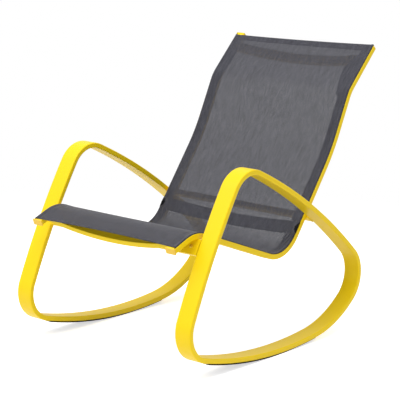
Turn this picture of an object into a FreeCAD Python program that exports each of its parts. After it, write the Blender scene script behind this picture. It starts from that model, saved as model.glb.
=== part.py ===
import FreeCAD, Part

import math
import os

import Sketcher

# Outdoor rocking chair: two closed flat-tube loops, each an arm, a leg and a rocker in one,
# two cross bars between them, and a sling seat stretched on two bent side rails.
# Millimetres, +Z up. The sitter faces -Y and their left hand is at +X. The origin is on the
# floor, under the middle of the chair's box. The side view is drawn with the rockers' lowest
# point at y = 0, and the finished chair is then rocked forward to where it stands at rest.

V = FreeCAD.Vector

# Driving dimensions: lengths in millimetres, angles in degrees.
DIMENSIONS = {
    "overall_width": 644.0,
    # from the drawn side view to the chair at rest
    "rest_tilt": 2.62,
    "rest_shift": -42.9,
    # flat tube of the side loops
    "tube_width": 53.0,
    "tube_thick": 15.0,
    "wall_thick": 1.5,
    "tube_edge": 2.0,
    # centreline of a side loop
    "rocker_radius": 1377.0,
    "tail_radius": 349.0,
    "rear_bend_radius": 92.0,
    "rear_bend_back": 233.9,
    "rear_bend_height": 157.0,
    "arm_radius": 1870.0,
    "top_bend_radius": 83.0,
    "top_bend_forward": 205.9,
    "top_bend_height": 466.7,
    "leg_radius": 2290.0,
    "front_bend_radius": 84.0,
    "front_bend_forward": 380.2,
    # glide strips under the rockers
    "glide_thick": 3.0,
    "glide_width": 44.0,
    "glide_front_angle": 16.4,
    "glide_rear_angle": 4.4,
    # sling rails, from the front end up to the head
    "rail_width": 30.0,
    "rail_thick": 15.0,
    "rail_edge": 1.0,
    "rail_gap": 8.9,
    "rail_front_forward": 456.1,
    "rail_front_height": 372.5,
    "lip_angle": 19.2,
    "lip_length": 53.3,
    "crest_radius": 102.0,
    "seat_angle": 21.8,
    "seat_length": 314.2,
    "hip_radius": 108.6,
    "back_angle": 51.5,
    "back_length": 225.6,
    "lumbar_radius": 585.0,
    "shoulder_angle": 62.5,
    "shoulder_length": 116.1,
    "neck_radius": 103.3,
    "head_angle": 43.3,
    "head_length": 152.0,
    # channel in the rail for the spline that holds the sling's edge
    "channel_inset": 1.5,
    "channel_width": 7.0,
    "channel_depth": 6.0,
    "lip_thick": 3.0,
    "slot_width": 3.4,
    "spline_width": 6.4,
    "spline_thick": 4.4,
    "sling_thick": 1.2,
    "sling_clearance": 0.1,
    "sling_front_inset": 4.0,
    "sling_top_inset": 3.0,
    # plugs in the rail ends
    "front_cap_thick": 4.0,
    "front_cap_overhang": 1.5,
    "top_cap_thick": 2.5,
    "top_cap_overhang": 0.0,
    "cap_plug": 12.0,
    "plug_clearance": 0.2,
    # bow bars between the rails
    "bow_width": 30.0,
    "bow_depth": 28.0,
    "bow_setback": 0.8,
    "front_bow_inset": 38.2,
    "top_bow_inset": 49.9,
    # cross bars between the loops
    "front_bar_height": 45.0,
    "front_bar_thick": 15.0,
    "front_bar_level": 364.7,
    "rear_bar_height": 15.0,
    "rear_bar_thick": 24.0,
    "rear_bar_along": 74.0,
    # brackets behind the front bar, and the bolt holes through both
    "bracket_thick": 4.0,
    "bracket_corner": 6.0,
    "bracket_length": 84.0,
    "bracket_height": 34.0,
    "bracket_lap": 42.0,
    "weld_gap": 0.1,
    "bolt_offset": 244.4,
    "bolt_hole": 6.4,
}

SIDES = {"left": 1, "right": -1}
TOUCH = 1e-6

doc = FreeCAD.newDocument("rocking_chair")
sheet = doc.addObject("Spreadsheet::Sheet", "sizes")


class Size:
    """A size with its number and the sheet formula that binds it."""

    def __init__(self, number, formula):
        self.number = number
        self.formula = formula

    def joined(self, sign, other, number):
        text = other.formula if isinstance(other, Size) else repr(other)
        return Size(number, f"({self.formula} {sign} {text})")

    def __add__(self, other):
        return self.joined("+", other, self.number + number_of(other))

    def __sub__(self, other):
        return self.joined("-", other, self.number - number_of(other))

    def __mul__(self, other):
        return self.joined("*", other, self.number * number_of(other))

    def __truediv__(self, other):
        return self.joined("/", other, self.number / number_of(other))

    def __neg__(self):
        return Size(-self.number, f"(0 - {self.formula})")


def number_of(value):
    return value.number if isinstance(value, Size) else value


def fill_sheet():
    for row, (alias, number) in enumerate(DIMENSIONS.items(), 1):
        sheet.set(f"A{row}", alias)
        sheet.set(f"B{row}", str(number))
        sheet.setAlias(f"B{row}", alias)
    doc.recompute()


def size(alias):
    return Size(float(sheet.get(alias)), f"sizes.{alias}")


def mm(alias):
    return float(sheet.get(alias))


# Sketch helpers


def new_body(label):
    body = doc.addObject("PartDesign::Body", label)
    body.Label = label
    return body


def new_sketch(body, role, name):
    sketch = body.newObject("Sketcher::SketchObject", f"{body.Label}_{name}")
    plane = next(f for f in body.Origin.OriginFeatures if f.Role == role)
    sketch.AttachmentSupport = (plane, "")
    sketch.MapMode = "FlatFace"
    return sketch


def hold(sketch, kind, where, value, unit=""):
    """Add a dimension to the sketch and bind it to the sheet."""
    number = math.radians(value.number) if unit else value.number
    index = sketch.addConstraint(Sketcher.Constraint(kind, *where, number))
    formula = f"{value.formula} * 1 {unit}" if unit else value.formula
    sketch.setExpression(f"Constraints[{index}]", formula)


def hold_point(sketch, geometry, end, x, y):
    """Hold one point of the geometry at x, y from the sketch's origin."""
    for kind, value, axis in (("DistanceX", x, -2), ("DistanceY", y, -1)):
        if abs(number_of(value)) < TOUCH:
            sketch.addConstraint(Sketcher.Constraint("PointOnObject", geometry, end, axis))
        elif number_of(value) > 0:
            hold(sketch, kind, (-1, 1, geometry, end), value)
        else:
            hold(sketch, kind, (geometry, end, -1, 1), -value)


def add_polygon(sketch, corners):
    """A closed outline of straight edges through corners given as pairs of sizes."""
    first = sketch.GeometryCount
    points = [V(number_of(x), number_of(y), 0) for x, y in corners]
    for start, end in zip(points, points[1:] + points[:1]):
        sketch.addGeometry(Part.LineSegment(start, end), False)
    for k, (x, y) in enumerate(corners):
        before = first + (k - 1) % len(corners)
        sketch.addConstraint(Sketcher.Constraint("Coincident", before, 2, first + k, 1))
        hold_point(sketch, first + k, 1, x, y)


def box_corners(low_x, high_x, low_y, high_y):
    return [(low_x, low_y), (high_x, low_y), (high_x, high_y), (low_x, high_y)]


def cut_box_corners(half_x, half_y, cut, middle_y=None):
    """A rectangle with its four corners cut at 45 degrees, centred at x = 0."""
    middle = middle_y or Size(0.0, "0")
    low, high = middle - half_y, middle + half_y
    return [
        (cut - half_x, low),
        (half_x - cut, low),
        (half_x, low + cut),
        (half_x, high - cut),
        (half_x - cut, high),
        (cut - half_x, high),
        (-half_x, high - cut),
        (-half_x, low + cut),
    ]


def pipe(body, kind, profile, spine):
    feature = body.newObject(f"PartDesign::{kind}", f"{profile.Name}_swept")
    feature.Profile = profile
    feature.Spine = spine
    doc.recompute()
    return feature


def pad(body, profile, length, kind="Pad", reverse=False, both_ways=True):
    feature = body.newObject(f"PartDesign::{kind}", f"{profile.Name}_{kind.lower()}")
    feature.Profile = profile
    feature.setExpression("Length", length.formula)
    feature.Midplane = both_ways
    feature.Reversed = reverse
    doc.recompute()
    return feature


def break_edges(body, base, is_wanted, width):
    """Chamfer the edges of the base that is_wanted picks out."""
    feature = body.newObject("PartDesign::Chamfer", f"{base.Name}_edges")
    names = [f"Edge{k}" for k, edge in enumerate(base.Shape.Edges, 1) if is_wanted(edge)]
    feature.Base = (base, names)
    feature.setExpression("Size", width.formula)
    doc.recompute()


def stand_along(body, heading, point):
    """Turn a body about X so that its Z runs at the heading in the side plane, and move it there."""
    turn = FreeCAD.Rotation(V(1, 0, 0), heading - 90)
    body.Placement = FreeCAD.Placement(point, turn)


# Side loops


def circle_meeting(first, second, radius):
    """Centre of the circle of that radius which touches both, with no circle outside another."""
    (a, ra), (b, rb) = first, second
    gap = b - a
    to_a, to_b = radius - ra, radius - rb
    along = (to_a**2 - to_b**2 + gap.Length**2) / (2 * gap.Length)
    aside = math.sqrt(to_a**2 - along**2)
    unit = gap / gap.Length
    return a + unit * along + V(unit.y, -unit.x, 0) * aside


def touch_point(one, other):
    """Where two circles touch, the smaller one inside the larger."""
    (big, big_radius), (small, _) = sorted((one, other), key=lambda circle: -circle[1])
    return big + (small - big).normalize() * big_radius


def loop_circles():
    """Centre and radius of each arc of the loop's centreline, counter-clockwise from the floor."""
    rocker_radius = mm("rocker_radius")
    rocker = (V(0, mm("glide_thick") + mm("tube_thick") / 2 + rocker_radius, 0), rocker_radius)
    rear = (V(mm("rear_bend_back"), mm("rear_bend_height"), 0), mm("rear_bend_radius"))
    top = (V(-mm("top_bend_forward"), mm("top_bend_height"), 0), mm("top_bend_radius"))
    reach = rocker_radius - mm("front_bend_radius")
    front_height = rocker[0].y - math.sqrt(reach**2 - mm("front_bend_forward") ** 2)
    front = (V(-mm("front_bend_forward"), front_height, 0), mm("front_bend_radius"))
    arm = (circle_meeting(top, rear, mm("arm_radius")), mm("arm_radius"))
    leg = (circle_meeting(front, top, mm("leg_radius")), mm("leg_radius"))
    tail = (circle_meeting(rocker, rear, mm("tail_radius")), mm("tail_radius"))
    return [rocker, tail, rear, arm, top, leg, front, rocker]


def loop_path(body):
    """The loop's centreline: eight tangent arcs that start at the rocker's lowest point."""
    circles = loop_circles()
    path = new_sketch(body, "YZ_Plane", "path")
    lowest = V(0, circles[0][0].y - circles[0][1], 0)
    touches = [touch_point(a, b) for a, b in zip(circles, circles[1:])]
    points = [lowest, *touches, lowest]
    for (centre, radius), start, end in zip(circles, points, points[1:]):
        from_angle = math.atan2(start.y - centre.y, start.x - centre.x)
        to_angle = math.atan2(end.y - centre.y, end.x - centre.x)
        if to_angle < from_angle:
            to_angle += 2 * math.pi
        circle = Part.Circle(centre, V(0, 0, 1), radius)
        path.addGeometry(Part.ArcOfCircle(circle, from_angle, to_angle), False)
    rocker_back, tail, rear, arm, top, leg, front, rocker_front = range(len(circles))
    for k in range(rocker_front):
        path.addConstraint(Sketcher.Constraint("Tangent", k, 2, k + 1, 1))
    path.addConstraint(Sketcher.Constraint("Coincident", rocker_front, 2, rocker_back, 1))
    path.addConstraint(Sketcher.Constraint("Coincident", rocker_front, 3, rocker_back, 3))
    path.addConstraint(Sketcher.Constraint("PointOnObject", rocker_back, 1, -2))
    named = {
        rocker_back: "rocker",
        tail: "tail",
        rear: "rear_bend",
        arm: "arm",
        top: "top_bend",
        leg: "leg",
        front: "front_bend",
    }
    for arc, name in named.items():
        hold(path, "Radius", (arc,), size(f"{name}_radius"))
    rocker_height = size("rocker_radius") + size("tube_thick") / 2 + size("glide_thick")
    hold_point(path, rocker_back, 3, Size(0.0, "0"), rocker_height)
    hold_point(path, rear, 3, size("rear_bend_back"), size("rear_bend_height"))
    hold_point(path, top, 3, -size("top_bend_forward"), size("top_bend_height"))
    hold(path, "DistanceX", (front, 3, -1, 1), size("front_bend_forward"))
    return path


def rocker_loop(side, sign):
    """Flat tube bent into a closed loop: rocker, rear bend, arm, top bend and front leg."""
    body = new_body(f"{side}_rocker_loop")
    path = loop_path(body)
    wall = size("wall_thick")
    half_wide, half_thick = size("tube_width") / 2, size("tube_thick") / 2
    level = size("glide_thick") + half_thick
    outside = new_sketch(body, "XZ_Plane", "outside")
    add_polygon(outside, cut_box_corners(half_wide, half_thick, size("tube_edge"), level))
    inside = new_sketch(body, "XZ_Plane", "inside")
    low, high = level - half_thick + wall, level + half_thick - wall
    add_polygon(inside, box_corners(wall - half_wide, half_wide - wall, low, high))
    doc.recompute()
    pipe(body, "AdditivePipe", outside, path)
    pipe(body, "SubtractivePipe", inside, path)
    half_over = (mm("overall_width") - mm("tube_width")) / 2
    body.Placement.Base = V(sign * half_over, 0, 0)
    return body


def glide_strip(side, sign):
    """Strip under the rocker that meets the floor, bent to the rocker's arc."""
    body = new_body(f"{side}_glide_strip")
    sketch = new_sketch(body, "YZ_Plane", "profile")
    upper = size("rocker_radius") + size("tube_thick") / 2
    lower = upper + size("glide_thick")
    centre = V(0, lower.number, 0)
    down = math.radians(-90)
    front = down - math.radians(mm("glide_front_angle"))
    rear = down + math.radians(mm("glide_rear_angle"))
    for radius in (upper, lower):
        circle = Part.Circle(centre, V(0, 0, 1), radius.number)
        sketch.addGeometry(Part.ArcOfCircle(circle, front, rear), False)
    corners = [[sketch.getPoint(arc, end) for arc in (0, 1)] for end in (1, 2)]
    for end, (start, stop) in enumerate(corners, 1):
        line = sketch.addGeometry(Part.LineSegment(start, stop), False)
        sketch.addConstraint(Sketcher.Constraint("Coincident", line, 1, 0, end))
        sketch.addConstraint(Sketcher.Constraint("Coincident", line, 2, 1, end))
        # each end is square to the arc, so its line points at the arc's centre
        sketch.addConstraint(Sketcher.Constraint("PointOnObject", 0, 3, line))
    sketch.addConstraint(Sketcher.Constraint("Coincident", 0, 3, 1, 3))
    hold_point(sketch, 0, 3, Size(0.0, "0"), lower)
    hold(sketch, "Radius", (0,), upper)
    hold(sketch, "Radius", (1,), lower)
    for end, alias, way in ((1, "glide_front_angle", -1), (2, "glide_rear_angle", 1)):
        reach = lower.number * math.sin(math.radians(mm(alias)))
        formula = f"({lower.formula} * sin(sizes.{alias} * 1 deg))"
        where = (-1, 1, 1, end) if way > 0 else (1, end, -1, 1)
        hold(sketch, "DistanceX", where, Size(reach, formula))
    pad(body, sketch, size("glide_width"))
    half_over = (mm("overall_width") - mm("tube_width")) / 2
    body.Placement.Base = V(sign * half_over, 0, 0)
    return body


# Sling frame: everything below is drawn in the lip's own frame, whose Y runs along the lip


def rail_turns():
    """Runs and bends of the rail in order: a length, then a radius and the heading after it."""
    return [
        ("lip_length", None, None),
        ("seat_length", "crest_radius", -size("seat_angle")),
        ("back_length", "hip_radius", size("back_angle")),
        ("shoulder_length", "lumbar_radius", size("shoulder_angle")),
        ("head_length", "neck_radius", size("head_angle")),
    ]


def rail_stations():
    """Start, heading and length of each straight run of the rail, in the chair's side plane."""
    heading = math.radians(mm("lip_angle"))
    point = V(-mm("rail_front_forward"), mm("rail_front_height"), 0)
    stations = []
    for length_name, radius_name, after in rail_turns():
        if radius_name:
            new_heading = math.radians(after.number)
            way = 1 if new_heading > heading else -1
            centre = point + V(-math.sin(heading), math.cos(heading), 0) * way * mm(radius_name)
            heading = new_heading
            point = centre + V(math.sin(heading), -math.cos(heading), 0) * way * mm(radius_name)
        stations.append((V(point), heading, mm(length_name)))
        point = point + V(math.cos(heading), math.sin(heading), 0) * mm(length_name)
    return stations


def rail_path(body, ends_cut=None):
    """The rail's centreline as straight runs and tangent arcs, in the lip's frame.

    ends_cut holds what is taken off the lip and the head, for a piece shorter than the rail.
    """
    ends_cut = ends_cut or {}
    lip = FreeCAD.Placement(V(0, 0, 0), FreeCAD.Rotation(V(0, 0, 1), -mm("lip_angle")))
    stations = rail_stations()
    origin = stations[0][0]
    front_cut = V(ends_cut["lip_length"].number if ends_cut else 0.0, 0, 0)
    path = new_sketch(body, "YZ_Plane", "path")
    last_line, last_end = None, None
    for (start, heading, _), (length_name, radius_name, after) in zip(stations, rail_turns()):
        held_length = size(length_name)
        if length_name in ends_cut:
            held_length = held_length - ends_cut[length_name]
        begin = lip.multVec(start - origin) - front_cut if radius_name else V(0, 0, 0)
        turned = heading - math.radians(mm("lip_angle"))
        along = V(math.cos(turned), math.sin(turned), 0)
        end = begin + along * held_length.number
        arc = None
        if radius_name:
            arc, leaves_at = add_bend(path, last_end, begin, turned, mm(radius_name))
            path.addConstraint(Sketcher.Constraint("Tangent", last_line, 2, arc, 3 - leaves_at))
            hold(path, "Radius", (arc,), size(radius_name))
        line = path.addGeometry(Part.LineSegment(begin, end), False)
        if arc is None:
            path.addConstraint(Sketcher.Constraint("Coincident", line, 1, -1, 1))
            path.addConstraint(Sketcher.Constraint("Horizontal", line))
        else:
            path.addConstraint(Sketcher.Constraint("Tangent", arc, leaves_at, line, 1))
            hold(path, "Angle", (line,), after - size("lip_angle"), "deg")
        hold(path, "Distance", (line,), held_length)
        last_line, last_end = line, end
    return path


def add_bend(path, start, end, heading_after, radius):
    """An arc from start to end that leaves at the heading; gives its index and its last end."""
    left = V(-math.sin(heading_after), math.cos(heading_after), 0)
    turns_left = (start - end).dot(left) > 0
    centre = end + left * (radius if turns_left else -radius)
    first, last = (start, end) if turns_left else (end, start)
    from_angle = math.atan2(first.y - centre.y, first.x - centre.x)
    to_angle = math.atan2(last.y - centre.y, last.x - centre.x)
    if to_angle < from_angle:
        to_angle += 2 * math.pi
    circle = Part.Circle(centre, V(0, 0, 1), radius)
    arc = path.addGeometry(Part.ArcOfCircle(circle, from_angle, to_angle), False)
    return arc, 2 if turns_left else 1


def place_on_lip(body, x, inset=0.0):
    """Move a body drawn in the lip's frame to the rail's front end, or a little behind it."""
    turn = FreeCAD.Rotation(V(1, 0, 0), mm("lip_angle"))
    start = V(x, -mm("rail_front_forward"), mm("rail_front_height"))
    body.Placement = FreeCAD.Placement(start + turn.multVec(V(0, inset, 0)), turn)


def rail_middle():
    """Distance of a rail's middle from the chair's middle plane."""
    loop_inside = size("overall_width") / 2 - size("tube_width")
    return loop_inside - size("rail_gap") - size("rail_width") / 2


def channel_edges():
    """Inner and outer side of the spline channel, from the rail's middle."""
    outer = size("rail_width") / 2 - size("channel_inset")
    return outer - size("channel_width"), outer


def slot_inside():
    """Inner side of the slit along the channel's outer side, from the rail's middle."""
    _, outer = channel_edges()
    return outer - size("slot_width")


def mirrored(corners, sign):
    return corners if sign > 0 else [(-x, y) for x, y in corners]


def sling_rail(side, sign):
    """Bent side rail: a hollow tube with a slotted channel along its outer front edge."""
    body = new_body(f"{side}_sling_rail")
    path = rail_path(body)
    half_wide, half_thick = size("rail_width") / 2, size("rail_thick") / 2
    edge, wall = size("rail_edge"), size("wall_thick")
    channel_in, channel_out = channel_edges()
    slot_in = slot_inside()
    roof = half_thick - size("lip_thick")
    floor = roof - size("channel_depth")
    outline = [
        (edge - half_wide, -half_thick),
        (half_wide - edge, -half_thick),
        (half_wide, edge - half_thick),
        (half_wide, half_thick - edge),
        (half_wide - edge, half_thick),
        (channel_out, half_thick),
        (channel_out, floor),
        (channel_in, floor),
        (channel_in, roof),
        (slot_in, roof),
        (slot_in, half_thick),
        (edge - half_wide, half_thick),
        (-half_wide, half_thick - edge),
        (-half_wide, edge - half_thick),
    ]
    hollow = box_corners(
        wall - half_wide, channel_in - wall, wall - half_thick, half_thick - wall
    )
    section = new_sketch(body, "XZ_Plane", "section")
    add_polygon(section, mirrored(outline, sign))
    add_polygon(section, mirrored(hollow, sign))
    doc.recompute()
    pipe(body, "AdditivePipe", section, path)
    place_on_lip(body, sign * rail_middle().number)
    return body


def sling_spline(side, sign):
    """Flat plastic spline that locks the sling's edge in the rail's channel."""
    body = new_body(f"{side}_sling_spline")
    path = rail_path(body)
    channel_in, channel_out = channel_edges()
    loose = (size("channel_width") - size("spline_width")) / 2
    top = size("rail_thick") / 2 - size("lip_thick")
    section = new_sketch(body, "XZ_Plane", "section")
    corners = box_corners(
        channel_in + loose, channel_out - loose, top - size("spline_thick"), top
    )
    add_polygon(section, mirrored(corners, sign))
    doc.recompute()
    pipe(body, "AdditivePipe", section, path)
    place_on_lip(body, sign * rail_middle().number)
    return body


def sling():
    """Fabric stretched across both rails, its edges turned down along the slots' inner sides."""
    body = new_body("sling")
    front_inset = size("sling_front_inset")
    path = rail_path(body, {"lip_length": front_inset, "head_length": size("sling_top_inset")})
    thick = size("sling_thick")
    in_slot = rail_middle() + slot_inside() + size("sling_clearance")
    out_slot = in_slot + thick
    below = size("rail_thick") / 2
    above = below + thick
    tip = below - size("lip_thick")
    section = new_sketch(body, "XZ_Plane", "section")
    corners = [
        (-out_slot, tip),
        (-in_slot, tip),
        (-in_slot, below),
        (in_slot, below),
        (in_slot, tip),
        (out_slot, tip),
        (out_slot, above),
        (-out_slot, above),
    ]
    add_polygon(section, corners)
    doc.recompute()
    pipe(body, "AdditivePipe", section, path)
    place_on_lip(body, 0, front_inset.number)
    return body


def rail_end_cap(side, sign, end):
    """Plastic plug in one end of a rail: a flange over the cut end and a stem inside the tube."""
    body = new_body(f"{side}_{end}_rail_cap")
    half_wide, half_thick = size("rail_width") / 2, size("rail_thick") / 2
    over, edge = size(f"{end}_cap_overhang"), size("rail_edge")
    flange_sketch = new_sketch(body, "XY_Plane", "flange")
    add_polygon(flange_sketch, cut_box_corners(half_wide + over, half_thick + over, edge))
    flange = pad(body, flange_sketch, size(f"{end}_cap_thick"), both_ways=False)
    wall, loose = size("wall_thick"), size("plug_clearance")
    channel_in, _ = channel_edges()
    stem_sketch = new_sketch(body, "XY_Plane", "stem")
    corners = box_corners(
        wall + loose - half_wide,
        channel_in - wall - loose,
        wall + loose - half_thick,
        half_thick - wall - loose,
    )
    # a cap's Z points out of the tube, so the top caps face the other way about their Y
    add_polygon(stem_sketch, mirrored(corners, sign if end == "front" else -sign))
    stem = pad(body, stem_sketch, size("cap_plug"), reverse=True, both_ways=False)
    outer_face = flange.Shape.BoundBox.ZMax
    break_edges(
        body,
        stem,
        lambda line: min(v.Z for v in line.Vertexes) > outer_face - TOUCH,
        edge / 2,
    )
    stations = rail_stations()
    start, heading, length = stations[0] if end == "front" else stations[-1]
    tangent = V(0, math.cos(heading), math.sin(heading))
    normal = V(0, -math.sin(heading), math.cos(heading))
    point = V(sign * rail_middle().number, start.x, start.y)
    way = -1 if end == "front" else 1
    if end == "top":
        point = point + tangent * length
    out = tangent * way
    turn = FreeCAD.Rotation(normal.cross(out), normal, out, "ZXY")
    body.Placement = FreeCAD.Placement(point, turn)
    return body


def bow_bar(end):
    """Tube between the rails that bows away from the sling, so that a sitter never meets it."""
    body = new_body(f"{end}_bow_bar")
    span = rail_middle() - size("rail_width") / 2
    depth, half_thick = size("bow_depth"), size("rail_thick") / 2
    radius = (span * span + depth * depth) / (depth * 2)
    outer = new_sketch(body, "XY_Plane", "outside")
    add_bow(outer, span, depth, radius, half_thick)
    bar = pad(body, outer, size("bow_width"))
    wall = size("wall_thick")
    inner = new_sketch(body, "XY_Plane", "inside")
    add_bow(inner, span, depth, radius, half_thick - wall)
    hollow = pad(body, inner, size("bow_width") - wall * 2, kind="Pocket")
    face = bar.Shape.BoundBox.ZMax
    break_edges(
        body,
        hollow,
        lambda edge: edge.Length > span.number and abs(edge.Vertexes[0].Z) > face - TOUCH,
        size("rail_edge"),
    )
    stations = rail_stations()
    start, heading, length = stations[0] if end == "front" else stations[-1]
    inset = mm("front_bow_inset") if end == "front" else length - mm("top_bow_inset")
    tangent = V(0, math.cos(heading), math.sin(heading))
    behind = V(0, math.sin(heading), -math.cos(heading))
    point = V(0, start.x, start.y) + tangent * inset + behind * mm("bow_setback")
    stand_along(body, math.degrees(heading), point)
    return body


def add_bow(sketch, span, depth, radius, half_thick):
    """A bowed band between two straight ends at x = -span and x = span."""
    centre_y = depth - radius
    for offset in (-half_thick, half_thick):
        reach = radius + offset
        swing = math.asin(span.number / reach.number)
        circle = Part.Circle(V(0, centre_y.number, 0), V(0, 0, 1), reach.number)
        up = math.pi / 2
        arc = sketch.addGeometry(Part.ArcOfCircle(circle, up - swing, up + swing), False)
        hold(sketch, "Radius", (arc,), reach)
        hold_point(sketch, arc, 3, Size(0.0, "0"), centre_y)
        hold(sketch, "DistanceX", (-1, 1, arc, 1), span)
        hold(sketch, "DistanceX", (arc, 2, -1, 1), span)
    for end in (1, 2):
        points = [sketch.getPoint(arc, end) for arc in (0, 1)]
        line = sketch.addGeometry(Part.LineSegment(*points), False)
        sketch.addConstraint(Sketcher.Constraint("Coincident", line, 1, 0, end))
        sketch.addConstraint(Sketcher.Constraint("Coincident", line, 2, 1, end))


# Cross bars and brackets: drawn in the bar's own frame, X across the chair and Y to its rear


def front_bar_frame():
    """Heading and middle of the front bar, which lies in line with the legs."""
    centre, radius = loop_circles()[5]
    level = mm("front_bar_level")
    y = centre.x - math.sqrt(radius**2 - (level - centre.y) ** 2)
    heading = math.degrees(math.atan2(centre.x - y, level - centre.y))
    return heading, V(0, y, level)


def rear_bar_frame():
    """Heading and middle of the rear bar, which lies behind the rails, level with the arms."""
    start, heading, _ = rail_stations()[2]
    tangent = V(0, math.cos(heading), math.sin(heading))
    behind = V(0, math.sin(heading), -math.cos(heading))
    offset = (mm("rail_thick") + mm("rear_bar_thick")) / 2
    point = V(0, start.x, start.y) + tangent * mm("rear_bar_along") + behind * offset
    return math.degrees(heading), point


BAR_FRAMES = {"front": front_bar_frame, "rear": rear_bar_frame}


def cross_bar(end):
    """Straight tube between the loops; the front one has a bolt hole near each end."""
    body = new_body(f"{end}_cross_bar")
    half_thick, half_high = size(f"{end}_bar_thick") / 2, size(f"{end}_bar_height") / 2
    wall = size("wall_thick")
    section = new_sketch(body, "YZ_Plane", "section")
    add_polygon(section, cut_box_corners(half_thick, half_high, size("rail_edge")))
    add_polygon(
        section,
        box_corners(wall - half_thick, half_thick - wall, wall - half_high, half_high - wall),
    )
    pad(body, section, size("overall_width") - size("tube_width") * 2)
    if end == "front":
        holes = new_sketch(body, "XZ_Plane", "holes")
        for sign in SIDES.values():
            add_hole(holes, sign)
        pad(body, holes, size("front_bar_thick") * 2, kind="Pocket")
    stand_along(body, *BAR_FRAMES[end]())
    return body


def add_hole(sketch, sign):
    """A bolt hole on the sketch's horizontal axis."""
    offset = size("bolt_offset")
    x = offset if sign > 0 else -offset
    radius = size("bolt_hole") / 2
    hole = sketch.addGeometry(Part.Circle(V(x.number, 0, 0), V(0, 0, 1), radius.number), False)
    hold_point(sketch, hole, 3, x, Size(0.0, "0"))
    hold(sketch, "Radius", (hole,), radius)


def front_bracket(side, sign):
    """Flat plate behind the front bar and the leg that joins the two, with the bolt's hole."""
    body = new_body(f"{side}_front_bracket")
    loop_inside = size("overall_width") / 2 - size("tube_width")
    outer, half_high = loop_inside + size("bracket_lap"), size("bracket_height") / 2
    inner, cut = outer - size("bracket_length"), size("bracket_corner")
    corners = [
        (outer, -half_high),
        (outer, half_high),
        (inner + cut, half_high),
        (inner, half_high - cut),
        (inner, cut - half_high),
        (inner + cut, -half_high),
    ]
    outline = new_sketch(body, "XZ_Plane", "outline")
    add_polygon(outline, mirrored(corners, sign))
    add_hole(outline, sign)
    pad(body, outline, size("bracket_thick"), reverse=True, both_ways=False)
    heading, point = front_bar_frame()
    behind = V(0, math.sin(math.radians(heading)), -math.cos(math.radians(heading)))
    stand_along(body, heading, point + behind * (mm("front_bar_thick") / 2 + mm("weld_gap")))
    return body


def let_rest(bodies):
    """Rock the chair about the rockers' axis to its resting place, and centre it on the origin."""
    axis = V(0, 0, mm("glide_thick") + mm("tube_thick") / 2 + mm("rocker_radius"))
    turn = FreeCAD.Rotation(V(1, 0, 0), mm("rest_tilt"))
    rest = FreeCAD.Placement(V(0, mm("rest_shift"), 0), turn, axis)
    for body in bodies:
        body.Placement = rest.multiply(body.Placement)


def build_all():
    fill_sheet()
    bodies = [sling(), *(bow_bar(end) for end in ("front", "top"))]
    for side, sign in SIDES.items():
        bodies += [maker(side, sign) for maker in (rocker_loop, glide_strip, sling_rail, sling_spline)]
        bodies += [rail_end_cap(side, sign, end) for end in ("front", "top")]
        bodies.append(front_bracket(side, sign))
    bodies += [cross_bar(end) for end in BAR_FRAMES]
    let_rest(bodies)
    doc.recompute()
    return bodies


def check(pieces):
    failed = [o.Name for o in doc.Objects if {"Invalid", "Error"} & set(o.State)]
    failed += [p.Label for p in pieces if p.Shape.isNull() or not p.Shape.isValid()]
    failed += [p.Label for p in pieces if len(p.Shape.Solids) != 1]
    if failed:
        raise RuntimeError("failed: " + ", ".join(failed))


def write(pieces):
    os.makedirs("parts", exist_ok=True)
    for piece in pieces:
        piece.Shape.exportStep(f"parts/{piece.Label}.step")


made = build_all()
check(made)
write(made)
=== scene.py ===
import math

import bmesh
import bpy
from mathutils import Matrix, Vector


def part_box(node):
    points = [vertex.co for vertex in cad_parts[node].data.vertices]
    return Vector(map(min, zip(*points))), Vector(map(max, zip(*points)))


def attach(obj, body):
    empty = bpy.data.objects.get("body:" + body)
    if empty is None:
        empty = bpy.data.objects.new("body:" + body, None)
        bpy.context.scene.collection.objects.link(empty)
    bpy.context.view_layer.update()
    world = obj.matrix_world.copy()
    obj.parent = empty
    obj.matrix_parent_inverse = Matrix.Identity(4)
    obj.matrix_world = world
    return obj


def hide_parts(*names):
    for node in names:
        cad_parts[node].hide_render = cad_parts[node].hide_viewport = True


# Outdoor rocking chair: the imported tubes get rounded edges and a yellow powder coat, and the
# plain sling becomes a woven mesh with hems, a hip seam, stitching and tension creases.
# Metres, +Z up. The sitter faces -Y and their left hand is at +X.

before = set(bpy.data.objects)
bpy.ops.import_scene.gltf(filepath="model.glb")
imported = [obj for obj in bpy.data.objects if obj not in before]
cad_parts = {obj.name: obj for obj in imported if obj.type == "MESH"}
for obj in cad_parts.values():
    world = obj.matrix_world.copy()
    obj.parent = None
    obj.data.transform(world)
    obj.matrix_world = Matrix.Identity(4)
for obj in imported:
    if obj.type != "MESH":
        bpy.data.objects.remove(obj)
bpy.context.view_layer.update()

BODY = "root"
MM = 0.001
SIDES = {"left": 1, "right": -1}
ACROSS = Vector((1, 0, 0))

# Camera, fitted to the photograph's frame of 400 x 400 pixels
PHOTO_SIDE = 400
CAMERA_FOCAL_PIXELS = 1543.94
CAMERA_SENSOR = 36.0
CAMERA_AZIMUTH = 39.024
CAMERA_ELEVATION = 11.266
CAMERA_ROLL = 1.695
CAMERA_DISTANCE = 4.498
CAMERA_TARGET = Vector((0, -0.0361, 0.3955))

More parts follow.
